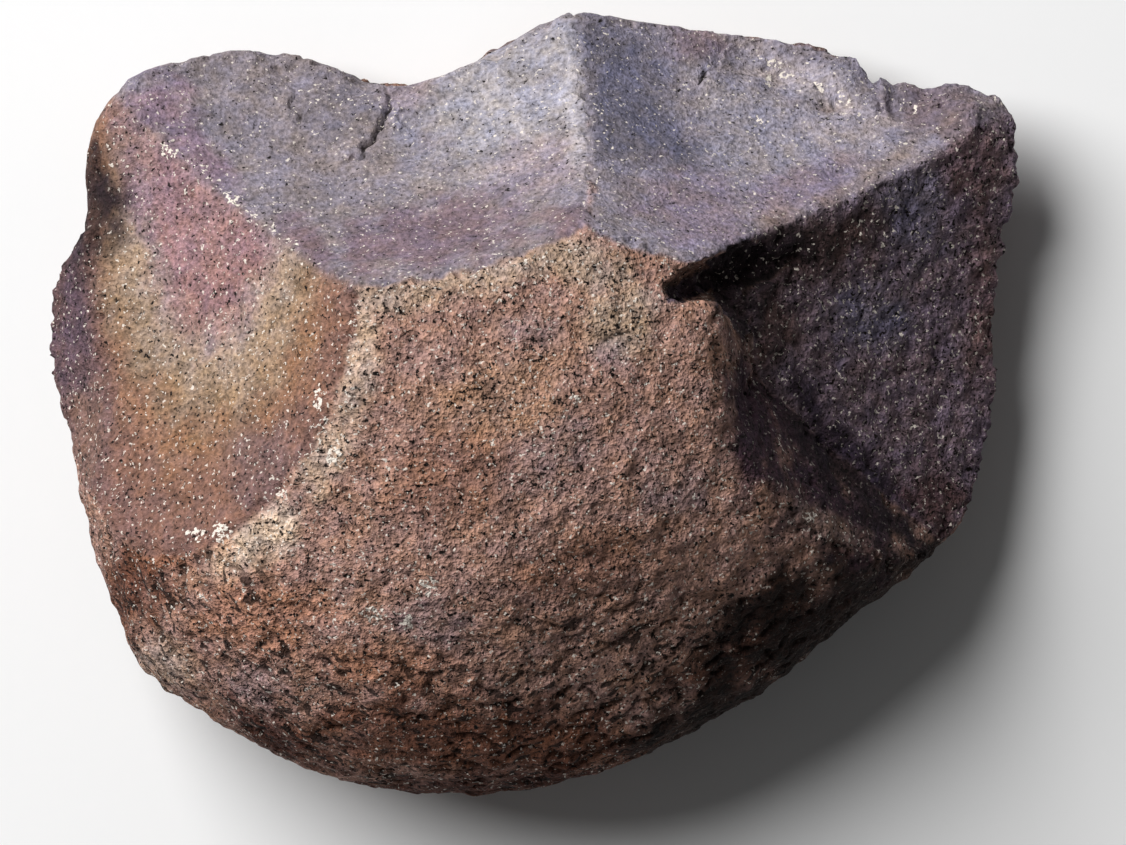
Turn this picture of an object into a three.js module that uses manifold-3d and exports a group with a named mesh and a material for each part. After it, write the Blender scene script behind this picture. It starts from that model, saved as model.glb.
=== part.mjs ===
// A worked pebble tool: a quartzite cobble with flakes struck off three of its sides.
// Units are millimetres and +Z is up. The stone lies on the flattest side of the cobble, at z = 0,
// with the working edge towards +Y and the rounded butt, which fills the palm, towards -Y.

import * as THREE from "three";
import { mergeVertices } from "three/addons/utils/BufferGeometryUtils.js";
import Module from "manifold-3d";

const wasm = await Module();
wasm.setup();

// The cobble before it was struck
const TOP = 44; // height of the crown above the table
const CROWN = [-6, -2]; // where the crown is, seen from above
const GIRTH_AT_BUTT = 16; // height of the widest level, at the butt
const GIRTH_AT_EDGE = 7; // the same, under the working edge
const BELLY = 2.5; // how far the rounded belly would reach below the flat it lies on
const CROWN_FULLNESS = 2.1; // 2 is an ellipse, and more is boxier
const BELLY_FULLNESS = 1.9;
const FLANK_BEARING = -48; // degrees from +X: the way of the flatter flank, beside the butt
const FLANK_DROP = 4; // how far that flank falls short of the dome
const FLANK_DEEPEST = 0.8; // where it falls short most, from 0 at the crown to 1 at the outline
const COBBLE_DETAIL = 19; // cuts along each edge of the icosahedron that the cobble starts from
const NOTCH_FADE = 8; // how fast the notches of the outline die out away from it
const OVAL_REACH = 30; // degrees of outline, either way, that are averaged for the smooth oval inside it
const OVAL_STEP = 5;

// The outline seen from above, from the left bulge round the working edge and the butt
const OUTLINE = [
  [-52.7, 9.5],
  [-49.4, 19.5],
  [-49.7, 26.8],
  [-45.8, 34.8],
  [-39.2, 37.7],
  [-27.1, 38.7],
  [-21.3, 36.4],
  [-15.2, 34.6],
  [-7.3, 37.1],
  [1.3, 42.0],
  [3.8, 43.1],
  [11.4, 41.2],
  [22.4, 39.9],
  [33.6, 38.4],
  [38.6, 35.2],
  [49.4, 33.6],
  [52.8, 29.6],
  [51.6, 17.0],
  [50.6, 9.5],
  [51.8, 1.8],
  [48.8, -9.5],
  [43.9, -16.1],
  [32.3, -25.4],
  [13.6, -37.8],
  [-1.8, -42.4],
  [-20.5, -41.6],
  [-38.1, -32.8],
  [-46.0, -23.0],
  [-50.6, -6.5],
];

const OUTLINE_STEPS = 24; // samples between two points of the outline

// The struck scars. Each is the hollow that one flake left: a point on its bed, the way the bed faces
// there, its slope, and how hollow it is along and across that way, as radii of curvature.
const SCARS = {
  upper: { bed: [-16, 26, 20], faces: 99, slope: 49, along: 76, across: 100 },
  upper_right: { bed: [26, 28, 17.5], faces: 80, slope: 50, along: 110, across: 90 },
  left_side: { bed: [-34, 5, 27.5], faces: 160.5, slope: 44.5, along: 114, across: 110 },
  left_rim: { bed: [-48.8, 10, 12.8], faces: 178, slope: 58, along: 60, across: 60 },
};

// The right side's scar ends in a step: its bed stops against two walls, with a crease at their foot.
const RIGHT_BED = { bed: [41, 6, 16], faces: -5, slope: 36, along: 200, across: 120 };
const RIGHT_WALLS = [
  { bed: [21.5, 6, 35], faces: 3, slope: 70, along: 60, across: 60 },
  { bed: [28, -5, 28.7], faces: 25, slope: 60, along: 120, across: 200 },
];

const FLAKE_DEPTH = 34; // half the thickness of the ball that cuts a scar
const FLAKE_DETAIL = 15;

// The deep notch under the ridge between the two right scars: a slit, wide where it meets the bed
const NOTCH = { at: [26.5, 15, 35.5], half: [14, 2.9, 8], heading: 14, dip: 24 };

// Small chips off the working edge
const CHIPS = [
  { bed: [36, 35, 11], faces: 42, slope: 62, along: 12, across: 9 },
  { bed: [-27, 36.6, 10], faces: 95, slope: 66, along: 10, across: 9 },
  { bed: [29.5, 35.5, 11.5], faces: 80, slope: 60, along: 9, across: 14 },
  { bed: [-49, 26, 12], faces: 172, slope: 62, along: 14, across: 10 },
  { bed: [49.5, 31, 12], faces: 40, slope: 60, along: 10, across: 9 },
];
const CHIP_DEPTH = 7;
const CHIP_DETAIL = 6;
const TABLE_SIZE = 200;

// A closed three.js geometry as a solid that can be cut.
function solidOf(geometry) {
  const bare = new THREE.BufferGeometry();
  bare.setAttribute("position", geometry.getAttribute("position"));
  bare.setIndex(geometry.index);
  const merged = mergeVertices(bare, 1e-4);
  return new wasm.Manifold(
    new wasm.Mesh({
      numProp: 3,
      vertProperties: merged.attributes.position.array,
      triVerts: new Uint32Array(merged.index.array),
    }),
  );
}

function geometryOf(solid) {
  const mesh = solid.getMesh();
  const geometry = new THREE.BufferGeometry();
  geometry.setAttribute("position", new THREE.BufferAttribute(mesh.vertProperties, 3));
  geometry.setIndex(new THREE.BufferAttribute(mesh.triVerts, 1));
  return geometry;
}

// How far the outline reaches from the crown, for any bearing in radians.
function outlineReach() {
  const points = OUTLINE.map(([x, y]) => new THREE.Vector3(x - CROWN[0], y - CROWN[1], 0));
  const curve = new THREE.CatmullRomCurve3(points, true, "centripetal");
  const samples = curve
    .getPoints(OUTLINE.length * OUTLINE_STEPS)
    .map((p) => [Math.atan2(p.y, p.x), Math.hypot(p.x, p.y)])
    .sort((a, b) => a[0] - b[0]);
  const turn = 2 * Math.PI;
  const lap = samples.length;
  samples.unshift([samples[lap - 1][0] - turn, samples[lap - 1][1]]);
  samples.push([samples[1][0] + turn, samples[1][1]]);
  return (bearing) => {
    const around = THREE.MathUtils.euclideanModulo(bearing + Math.PI, turn) - Math.PI;
    const next = samples.findIndex((s) => s[0] > around);
    const [b1, r1] = samples[next];
    const [b0, r0] = samples[next - 1];
    return r0 + ((r1 - r0) * (around - b0)) / (b1 - b0);
  };
}

function flankDrop(bearing, out) {
  const facing = Math.max(0, Math.cos(bearing - THREE.MathUtils.degToRad(FLANK_BEARING)));
  const shape = (t) => t ** 4 * (1 - t);
  return (FLANK_DROP * facing ** 3 * shape(out)) / shape(FLANK_DEEPEST);
}

// The water-worn cobble: a ball whose girth follows the outline, full on top and flatter below.
function cobble() {
  const reach = outlineReach();
  const oval = (bearing) => {
    let sum = 0;
    for (let turn = -OVAL_REACH; turn <= OVAL_REACH; turn += OVAL_STEP) {
      sum += reach(bearing + THREE.MathUtils.degToRad(turn));
    }
    return sum / ((2 * OVAL_REACH) / OVAL_STEP + 1);
  };
  const ball = new THREE.IcosahedronGeometry(1, COBBLE_DETAIL);
  const middle = (GIRTH_AT_BUTT + GIRTH_AT_EDGE) / 2;
  const lean = (GIRTH_AT_BUTT - GIRTH_AT_EDGE) / 2;
  const place = ball.getAttribute("position");
  const p = new THREE.Vector3();
  for (let i = 0; i < place.count; i += 1) {
    p.fromBufferAttribute(place, i).normalize();
    const bearing = Math.atan2(p.y, p.x);
    const full = p.z > 0 ? CROWN_FULLNESS : BELLY_FULLNESS;
    const out = Math.hypot(p.x, p.y) ** (2 / full);
    const up = Math.abs(p.z) ** (2 / full);
    const girth = middle - lean * Math.sin(bearing) * out * out;
    const height = p.z > 0 ? TOP - middle : -(middle + BELLY);
    const radius = out * THREE.MathUtils.lerp(oval(bearing), reach(bearing), out ** NOTCH_FADE);
    const x = CROWN[0] + radius * Math.cos(bearing);
    const y = CROWN[1] + radius * Math.sin(bearing);
    const z = girth + height * up - (p.z > 0 ? flankDrop(bearing, out) : 0);
    place.setXYZ(i, x, y, z);
  }
  return solidOf(ball);
}

// The ball that cuts one scar: it touches the bed from outside and curves away from it.
function flake({ bed, faces, slope, along, across }, depth = FLAKE_DEPTH, detail = FLAKE_DETAIL) {
  const ball = new THREE.IcosahedronGeometry(1, detail);
  ball.scale(Math.sqrt(along * depth), Math.sqrt(across * depth), depth);
  ball.translate(0, 0, depth);
  ball.rotateY(THREE.MathUtils.degToRad(slope));
  ball.rotateZ(THREE.MathUtils.degToRad(faces));
  ball.translate(...bed);
  return solidOf(ball);
}

function notch({ at, half, heading, dip }) {
  const slit = new THREE.IcosahedronGeometry(1, CHIP_DETAIL);
  slit.scale(...half);
  slit.rotateY(THREE.MathUtils.degToRad(dip));
  slit.rotateZ(THREE.MathUtils.degToRad(heading));
  slit.translate(...at);
  return solidOf(slit);
}

function stone() {
  let solid = cobble();
  for (const scar of Object.values(SCARS)) {
    solid = solid.subtract(flake(scar));
  }
  const rightSide = RIGHT_WALLS.reduce((cut, wall) => cut.intersect(flake(wall)), flake(RIGHT_BED));
  solid = solid.subtract(rightSide).subtract(notch(NOTCH));
  for (const chip of CHIPS) {
    solid = solid.subtract(flake(chip, CHIP_DEPTH, CHIP_DETAIL));
  }
  const table = new THREE.BoxGeometry(TABLE_SIZE, TABLE_SIZE, TABLE_SIZE);
  table.translate(0, 0, -TABLE_SIZE / 2);
  return solid.subtract(solidOf(table));
}

// The stone's geometry, with the middle of its outline over the origin
function centred(shape) {
  shape.computeBoundingBox();
  const middle = shape.boundingBox.getCenter(new THREE.Vector3());
  return shape.translate(-middle.x, -middle.y, 0);
}

const pebbleTool = new THREE.Mesh(
  centred(geometryOf(stone())),
  new THREE.MeshStandardMaterial({ color: 0x7d6358, roughness: 0.85, metalness: 0 }),
);
pebbleTool.name = "pebble_tool";

const group = new THREE.Group();
group.add(pebbleTool);
export default group;
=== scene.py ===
"""The worked pebble tool: a quartzite cobble with its natural brown crust, and finer, greyer stone where
flakes came off. One stone, lying on its flattest side, seen from above."""

import math

import bmesh
import bpy
import numpy as np
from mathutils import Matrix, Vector, kdtree, noise


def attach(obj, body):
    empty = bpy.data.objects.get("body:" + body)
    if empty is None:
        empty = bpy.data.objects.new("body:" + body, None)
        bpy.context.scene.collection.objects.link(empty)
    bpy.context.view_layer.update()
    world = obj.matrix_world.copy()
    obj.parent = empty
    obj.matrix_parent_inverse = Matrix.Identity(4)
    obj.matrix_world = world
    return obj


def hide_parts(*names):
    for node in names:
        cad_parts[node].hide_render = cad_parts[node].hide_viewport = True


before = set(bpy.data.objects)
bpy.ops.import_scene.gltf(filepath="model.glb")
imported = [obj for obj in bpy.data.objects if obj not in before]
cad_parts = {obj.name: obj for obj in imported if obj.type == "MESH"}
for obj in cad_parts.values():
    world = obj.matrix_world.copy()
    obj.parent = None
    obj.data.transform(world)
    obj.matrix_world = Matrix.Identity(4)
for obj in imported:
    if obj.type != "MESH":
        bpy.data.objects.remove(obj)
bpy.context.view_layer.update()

bl_info = {
    "name": "Worked pebble tool",
    "version": (1, 0, 0),
    "blender": (4, 5, 0),
    "location": "3D View > Sidebar > Pebble",
    "description": "Builds a flaked quartzite cobble over its solid, and a plain stage to see it on",
    "category": "Object",
}

MM = 0.001
NODE = "pebble_tool"

# The photograph, and the real size of one of its pixels
PHOTO_WIDTH_PX = 1126
PHOTO_HEIGHT_PX = 845
MM_PER_PX = 0.11
ORIGIN_PX = (540.5, 401.0)  # the pixel over the frame's origin

# The beds of the scars, as in the solid: a point on the bed in mm, the way it faces and its slope in
# degrees, and its radii of curvature along and across that way in mm
SOLID_SHIFT = (-0.48, -0.08, 0.0)  # how far the solid was moved to stand over the origin
FLAKE_DEPTH = 34.0
BEDS = {
    "upper": ((-16, 26, 20), 99, 49, 76, 100),
    "upper_right": ((26, 28, 17.5), 80, 50, 110, 90),
    "left": ((-34, 5, 27.5), 160.5, 44.5, 114, 110),
    "left_rim": ((-48.8, 10, 12.8), 178, 58, 60, 60),
    "right_bed": ((41, 6, 16), -5, 36, 200, 120),
    "right_wall_high": ((21.5, 6, 35), 3, 70, 60, 60),
    "right_wall_low": ((28, -5, 28.7), 25, 60, 120, 200),
}
SCARS = ("upper", "upper_right", "left", "left_rim", "right")
ZONE_BLEND = 0.4  # mm: how softly the colours of two scars meet
ZONE_EDGE = (0.25, 0.75)  # mm behind a scar, where its stone gives way to crust
ZONE_WOBBLE = 0.12  # mm: how far that border strays

# Chips along the outline, which show struck stone, as the ranges in mm over which they set in: along the
# working edge, at the right end and on the left rim
EDGE_CHIPS_Y = (30, 33)
EDGE_CHIPS_Z = (17, 14)
RIGHT_CHIPS_X = (46, 47.5)
RIGHT_CHIPS_Y = (-12, -8)
RIM_CHIPS_X = (-46, -47)
RIM_CHIPS_Y = (0, 6)
CHIPS_ABOVE = 6

# Small hollows cut into the remeshed stone: a point on the bed in mm, the way it faces and its slope in
# degrees, its radii of curvature, and half the thickness of the ball that cuts it
SMALL_CUTS = [
    ((35.0, 35.4, 8.2), 40, 62, 10, 4, 3),
    ((27.4, 34.6, 8.8), 80, 44, 8, 7, 4),
    ((31.6, 32.0, 11.1), 86, 45, 5, 6, 4),
    ((22.5, 36.8, 7.8), 76, 43, 6, 9, 4),
    ((45.5, 33.6, 9.0), 60, 50, 5, 8, 4),
    ((-27.6, 35.7, 9.5), 90, 37, 6, 5, 4),
    ((-48.6, 23.3, 12.6), 185, 45, 12, 9, 4),
]

# The dark cleft at the head of the right scar, under the overhanging ridge, as parts of it that run into
# each other: middle, half sizes, heading and dip in degrees
CLEFT = [
    ((24.8, 16.4, 36.0), (8.0, 2.1, 7.0), 21, 14),
    ((18.2, 13.2, 37.0), (5.4, 1.2, 5.0), 26, 10),
    ((21.0, 10.8, 36.0), (4.4, 1.7, 5.0), -62, 8),
    ((30.5, 18.9, 32.0), (4.6, 1.3, 4.6), 12, 14),
]

# Places where the outline stands out further than the solid's, seen from above in mm: middle, half width
# and height, turn in degrees, and then the way it is pushed out in degrees and how far
BULGES = [
    ((30.5, 37.5, 8.0, 6.0, -12), 75, 1.2),
    ((15.5, 40.5, 9.0, 5.0, -5), 85, 0.75),
    ((48.0, 33.0, 5.0, 5.0, -20), 75, 1.1),
    ((-53.0, 9.0, 8.0, 9.5, 0), 180, 1.9),
    ((-43.5, -29.5, 6.0, 6.0, 0), 215, 0.8),
    ((24.5, -31.5, 6.0, 4.5, 30), -55, 0.8),
]

# Steps where a flake broke off short: a line seen from above in mm, the height of the side on the left
# of its way, and how far that height fades out
STEPS = [
    ([(-22.6, 25.2), (-19.9, 27.0), (-18.2, 29.0), (-17.2, 31.4), (-17.0, 33.8), (-17.4, 35.6)], 0.45, 8.0),
    ([(-15.6, 28.8), (-15.4, 31.2), (-15.8, 33.4)], 0.3, 2.0),
    ([(-26.6, 29.8), (-27.7, 32.2), (-27.3, 35.2)], 0.35, 2.5),
    ([(21.8, 39.0), (19.4, 37.0), (17.2, 33.4)], 0.7, 5.0),
    ([(23.6, 38.6), (24.2, 35.8), (25.8, 34.4), (28.6, 34.6), (30.6, 33.4), (33.0, 32.8)], -0.7, 9.0),
    ([(30.4, 32.6), (33.0, 31.2), (36.0, 31.2), (38.2, 32.8)], -0.5, 6.0),
    ([(41.0, 33.6), (44.0, 31.8), (46.6, 31.4)], -0.4, 5.0),
    ([(37.0, 39.5), (37.3, 35.5), (37.5, 33.0), (38.0, 31.0)], 1.0, 5.0),
]

# Cracks: a line seen from above in mm, the depth and the width
CRACKS = [
    ([(6.2, 6.6), (7.6, 7.0), (9.0, 7.3), (10.6, 6.9)], 0.45, 0.3),
    ([(-21.6, 25.8), (-19.6, 27.0), (-17.9, 29.0), (-16.9, 31.4), (-16.7, 33.8), (-17.0, 35.2)], 0.4, 0.2),
    ([(-26.4, 29.8), (-27.5, 32.2), (-27.1, 34.6)], 0.3, 0.18),
    ([(19.2, 36.8), (17.4, 33.8)], 0.4, 0.2),
]
REFINE_REACH = 0.8  # mm: how far from a step or crack the mesh is made finer
LINE_WOBBLE = 0.25  # mm: how far steps and cracks stray from their lines

# Places where a ridge is worn round, seen from above in mm: middle, half width and height, turn in degrees
WORN_RIDGES = [
    (19.5, -3.0, 4.5, 14.0, 12),
    (31.0, -17.0, 15.0, 5.0, -32),
    (-28.0, -6.0, 8.0, 14.0, -35),
    (-41.0, -9.5, 10.0, 6.0, -28),
    (6.0, 23.5, 4.0, 6.5, 0),
    (-47.5, 10.0, 3.5, 16.0, 0),
    (-9.0, 14.0, 14.0, 2.6, 12),
]
WORN_PASSES = 90
WORN_ABOVE = (5, 9)  # mm: the heights over which this wear sets in
FACE_PASSES = 16  # how often the even faces are smoothed
RIDGE_SOFTENING = 0.2  # the share of that smoothing that a ridge gets

# Sizes of the relief in mm
SWELL_SIZES = (9.0, 4.0)
SWELL_SHARE = 0.4  # each of the two gets this share of the swells' height
KNOBBLE_SIZE = 1.9
PIT_SPACING = 1.5
PIT_RADIUS = 0.2
PIT_GROWTH = 0.5  # how much larger the largest pits are
PITLESS_SHARE = 0.4  # the share of places that have no pit
RIPPLE_SIZES = (5.0, 1.7)
FINEST_RIPPLE = 0.4
RIPPLE_COARSENESS = {"left": 0.5, "right": 2.2, "left_rim": 0.6}  # what these scars have on top of that

# The rows of worn layers along the butt: how steep it is there (the normal's z), where it begins in y and how
# far that line slants, then the rows' own slant, wobble, length, height and width of groove. Lengths in mm
BUTT_STEEPNESS = (0.96, 0.84)
BUTT_Y = (-12, -24)
BUTT_SLANT = 0.15
ROW_SLANT = 0.10
ROW_WOBBLE = 0.5
ROW_LENGTH = 7.0
ROW_HEIGHT = 1.3
GROOVE_WIDTH = 0.3  # as a share of the rows' noise

# The crumbling: how far it reaches from a ridge, and from a ridge at the outline, in mm, how much stronger it
# is at the outline, the heights over which that sets in, and the deepest it may go
RIDGE_CRUMBLE_REACH = 0.9
EDGE_CRUMBLE_REACH = 1.6
EDGE_CRUMBLE = 1.3
EDGE_CRUMBLE_Z = (18, 14)
DEEPEST_CRUMBLE = 1.3

# The underside: below this z of the normal and this height in mm, and the share of its points taken out
UNDERSIDE_NORMAL = -0.2
UNDERSIDE_TOP = 9
UNDERSIDE_THINNING = 0.8
MERGE_DISTANCE = 0.00001  # metres

# The colour of each zone, before stains, painted shade and highlights, grains and dirt (sRGB)
ZONE_COLOURS = {
    "crust": "#977669",
    "upper": "#787075",
    "upper_right": "#7C757E",
    "left": "#775C50",
    "left_rim": "#54424A",
    "right": "#6C5C65",
}

# How coarse the grain looks in each zone, 1 being the natural crust
GRAIN_COARSENESS = {
    "upper": 0.35,
    "upper_right": 0.4,
    "left": 0.7,
    "left_rim": 0.8,
    "crust": 1.0,
    "right": 1.0,
}

# The rings of stain round the middle of the left scar: the middle and the half sizes of the inner ring in
# mm, and the colours with the reach of each, 1 being the inner ring
RING_MIDDLE = (-36.1, 20.5)
RING_HALF = (7.4, 14.3)
RING_COLOURS = [
    (0.0, "#876A6A"),
    (0.7, "#866768"),
    (0.95, "#8A7670"),
    (1.2, "#917D6C"),
    (1.45, "#87705B"),
    (1.75, "#7D5D48"),
    (2.1, "#755649"),
    (2.6, "#6F5249"),
]
RING_WOBBLE = 0.06  # how far the rings stray, as a share of the inner ring

# How a patch of stain, painted light, wear or quartz fades, in shares of its half size, and how far its
# border strays
PATCH_CORE = 0.4
PATCH_EDGE = 1.35
PATCH_WOBBLE = 0.16

# Stains, and patches of painted shade and painted highlight: their zone, colour and strength, and their
# patches seen from above in mm: middle, half width and height, and turn in degrees
STAINS_AND_PAINTED_LIGHT = [
    ("upper", "#8D898F", 1.0, [(-4.5, 32.5, 11.0, 10.0, -25), (2.0, 38.0, 5.0, 4.0, 40)]),
    ("upper", "#776473", 0.9, [(-42.0, 32.0, 4.0, 4.5, 30), (-37.5, 27.0, 5.5, 2.2, -45)]),
    ("upper", "#74758A", 0.3, [(-14.6, 30.0, 2.0, 4.0, 0)]),
    ("upper", "#84747A", 0.6, [(-14.5, 34.0, 3.5, 2.4, 20), (0.0, 26.0, 7.0, 3.5, 10)]),
    ("upper", "#676168", 0.8, [(-22.5, 32.5, 5.0, 4.0, 0)]),
    ("upper", "#69575F", 0.9, [
        (-12.0, 18.0, 13.0, 4.2, 13), (5.0, 19.0, 6.0, 3.0, 0), (-25.0, 17.0, 5.0, 2.0, -40),
    ]),
    # A painted highlight along the ridge between the upper scars
    ("upper", "#A29EA3", 0.6, [(4.2, 33.0, 1.8, 9.0, 4)]),
    ("upper_right", "#5A5867", 1.0, [(8.6, 33.5, 5.2, 9.5, 10), (13.5, 28.5, 6.0, 3.5, -30)]),
    ("upper_right", "#86818A", 0.8, [(24.0, 29.5, 9.0, 6.0, -25), (30.0, 33.5, 5.0, 4.0, 0)]),
    ("upper_right", "#8E868C", 0.7, [(34.0, 29.5, 6.0, 3.5, -10)]),
    ("upper_right", "#7A6C79", 0.8, [(17.0, 20.5, 8.0, 4.5, -25), (28.0, 23.0, 8.0, 3.0, 20)]),
    ("upper_right", "#6C5A5F", 0.7, [(17.0, 38.8, 4.0, 1.8, -10)]),
    ("upper_right", "#A09699", 0.5, [(27.0, 36.0, 6.0, 2.6, -25), (34.5, 32.0, 4.0, 1.4, -10)]),
    ("upper_right", "#675A61", 0.9, [(44.0, 31.5, 7.0, 3.0, -10)]),
    ("upper_right", "#796757", 0.45, [(36.0, 24.6, 9.0, 1.2, 35), (26.5, 20.2, 4.0, 1.2, 20)]),
    ("left", "#7D646B", 0.8, [(-43.0, 30.0, 5.0, 5.0, 40), (-43.5, 25.0, 4.0, 7.0, 10)]),
    ("left", "#8C7372", 0.4, [(-38.0, 26.5, 5.0, 1.8, -45)]),
    ("left", "#66504F", 0.7, [(-29.0, -7.5, 5.5, 5.5, 30)]),
    ("left", "#20151A", 1.0, [(-48.8, 21.6, 3.6, 7.0, 0)]),
    ("left_rim", "#1C1216", 1.0, [(-49.0, 22.2, 4.4, 8.0, -4)]),
    ("left_rim", "#70564D", 1.0, [(-49.0, -4.0, 4.5, 8.0, 0)]),
    ("left_rim", "#5E4744", 0.6, [(-51.8, 13.0, 1.4, 6.0, 0)]),
    ("crust", "#A18D7B", 0.8, [
        (-10.0, 13.0, 14.0, 2.4, 13), (4.0, 15.0, 7.0, 3.0, -25), (9.0, 9.0, 5.0, 4.0, 0),
    ]),
    ("crust", "#AE9887", 0.85, [(-20.2, 5.0, 2.8, 8.5, -8), (-23.8, -6.5, 3.0, 6.0, -35)]),
    ("crust", "#A59080", 0.7, [(-40.5, -28.5, 3.5, 2.5, -50)]),
    ("crust", "#C6B09C", 0.9, [(-31.5, -15.5, 6.5, 3.2, 38)]),
    ("crust", "#A98568", 0.45, [(-4.5, 0.5, 7.0, 5.0, 20)]),
    ("crust", "#5A3525", 0.9, [(-44.0, -20.0, 4.0, 8.0, -30)]),
    ("crust", "#9E6E55", 0.6, [
        (-38.5, -15.5, 5.0, 3.5, 20), (-31.0, -23.0, 8.0, 5.5, -10), (-16.0, -29.0, 9.0, 3.0, -10),
    ]),
    ("crust", "#7D7078", 0.35, [
        (7.4, 5.0, 2.2, 1.4, -10), (-12.0, -24.0, 5.0, 2.8, -10), (-31.0, -31.0, 4.0, 2.5, -30),
        (1.0, -6.0, 5.0, 3.0, 30), (14.0, -10.0, 4.0, 3.0, 0), (-2.0, 8.0, 4.0, 2.0, 0),
    ]),
    ("crust", "#7A5340", 0.5, [(-10.0, -8.0, 7.0, 5.0, 20), (5.0, -18.0, 8.0, 4.0, 20)]),
    # Darker towards the butt: its own dark red-brown, with painted shade where it turns away from the light
    ("crust", "#67402F", 0.9, [(-5.0, -37.0, 28.0, 5.0, -3), (24.0, -26.0, 12.0, 4.5, 35)]),
    ("crust", "#45241B", 0.9, [(0.0, -42.5, 30.0, 2.6, 2), (-29.0, -37.0, 8.0, 1.8, -35)]),
    # Painted shade: near black on the lower right flank, which faces away from the light
    ("crust", "#190E0C", 0.95, [
        (32.5, -24.2, 18.0, 9.5, 34), (20.0, -34.0, 13.0, 5.0, 26), (42.0, -18.0, 5.0, 3.0, 36),
        (22.0, -25.0, 8.0, 3.5, 34),
    ]),
    # Painted shade on the steep wall down to the right scar, which faces away from the light
    ("crust", "#382730", 1.0, [
        (23.5, -2.0, 3.8, 10.0, 12), (31.0, -9.5, 4.8, 10.0, 38), (27.5, -2.0, 4.5, 6.0, 30),
    ]),
    # Painted shade along the crease at that wall's foot
    ("crust", "#241A20", 0.9, [(28.0, 0.5, 1.8, 5.0, 30), (34.0, -8.6, 3.0, 11.0, 46)]),
    # Painted shadow in the cleft under the overhanging ridge
    ("crust", "#150D0D", 1.0, [
        (20.6, 11.6, 2.8, 3.4, 30), (23.0, 8.0, 1.6, 3.2, 20), (25.0, 14.0, 6.0, 2.2, 22),
        (16.6, 12.8, 3.4, 1.2, 26),
    ]),
    # Painted light: a lighter patch where a bench on the shaded flank faces the light more
    ("crust", "#8A7266", 0.5, [(31.0, -13.5, 5.0, 1.6, -28)]),
    # A painted highlight on a small ridge facet in the wall
    ("crust", "#A79FA4", 0.9, [(23.9, 5.4, 2.3, 0.6, -52)]),
    ("right", "#6A6B80", 0.5, [(40.5, 21.5, 4.0, 6.5, 5), (36.0, 9.0, 5.0, 4.0, 0)]),
    # Painted shade under the overhanging ridge, and painted shadow in the cleft at the head of the right scar
    ("right", "#4A3836", 0.9, [(29.0, 16.5, 9.0, 4.5, 20), (25.5, 8.0, 3.0, 6.0, 0)]),
    ("right", "#2A1F23", 1.0, [(22.5, 14.6, 10.0, 3.6, 24), (21.5, 10.5, 2.6, 4.6, 28)]),
    # Painted shade along the crease at the foot of the wall
    ("right", "#2F2532", 0.9, [(29.0, 0.5, 1.6, 5.0, 30), (35.5, -7.0, 1.8, 11.0, 46)]),
    ("right", "#4E3838", 0.9, [(43.5, -11.0, 4.0, 5.0, 0)]),
    ("right", "#6E5350", 0.6, [(48.5, 12.0, 2.0, 12.0, 0), (47.0, 27.0, 3.0, 5.0, 0)]),
]

# The band of painted shade round the stone's widest part, just above its foot: how dark it is, the heights
# in mm over which it fades out above and sets in below, and how far they stray
FOOT_SHADE = 0.55
FOOT_SHADE_TOP = (11.5, 8.5)
FOOT_SHADE_BOTTOM = (1, 5)
FOOT_SHADE_WOBBLE = 0.8

# Where white quartz shows, and painted highlights on the lit rims of the chips along the upper right edge,
# seen from above in mm, in the same form as the patches of a stain
QUARTZ_AND_HIGHLIGHTS = [
    (3.9, 0.2, 1.1, 0.9, 0), (-12.2, -20.1, 1.8, 1.2, 20), (-24.0, 0.4, 0.8, 1.9, 10),
    (-36.7, -21.2, 1.1, 1.0, 0), (-34.7, -14.1, 1.6, 1.4, 0), (-17.9, -23.2, 1.5, 1.0, 0),
    (-14.4, -24.0, 0.9, 1.3, 0), (6.4, -25.0, 1.0, 0.8, 0), (-28.0, -9.6, 1.0, 1.8, -30),
    (-22.4, -5.9, 0.9, 1.9, 0), (-41.0, 27.5, 1.4, 0.7, -45), (-34.0, 22.2, 1.4, 0.6, -40),
    (-37.5, -14.5, 1.2, 0.8, 0), (-14.8, -13.4, 0.6, 0.5, 0), (-32.0, -20.5, 0.8, 0.7, 0),
    (-2.0, -27.0, 0.7, 0.6, 0), (29.5, -12.6, 0.9, 0.7, 0), (12.0, -20.0, 0.7, 0.7, 0),
    # Painted highlights on the lit rims of the chips along the upper right edge
    (25.6, 36.6, 1.5, 0.6, -30), (24.9, 34.6, 0.5, 1.2, -20), (30.4, 33.9, 1.2, 0.5, -35),
    (33.4, 32.6, 1.5, 0.6, -25), (36.6, 31.4, 0.8, 0.5, 0), (24.1, 30.7, 0.6, 0.5, 0),
    (41.2, 32.3, 0.6, 0.6, 0), (40.1, 28.2, 0.8, 0.5, 20),
]

# Where the grains along a ridge are crushed to pale crumbs, and painted highlights along the ridge between
# the upper scars and on the upper right's chips, in the same form, and how thick they lie
CRUMBS_AND_HIGHLIGHTS = [
    (-34.0, 22.8, 14.0, 0.8, -39), (-20.8, 3.5, 1.0, 7.0, -8), (-25.5, -5.5, 1.3, 7.0, -32),
    # The patches at (6.6, 31), (27, 35) and (35, 31.4) are painted highlights
    (-32.0, -16.0, 7.0, 1.2, 35), (6.6, 31.0, 0.5, 8.0, 20), (27.0, 35.0, 4.5, 0.8, -25),
    (35.0, 31.4, 3.0, 0.5, -5), (-5.0, 14.2, 14.0, 0.7, 14),
]
CRUMB_COVER = 0.65

# Where clean grains stand out of the dark right scar and of the painted shadow in its cleft, in the same
# form, and how thick they lie
FLECKS = [(38.0, 8.0, 12.0, 20.0, 0), (25.0, 15.5, 8.0, 3.0, 22)]
FLECK_COVER = 0.55


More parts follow.
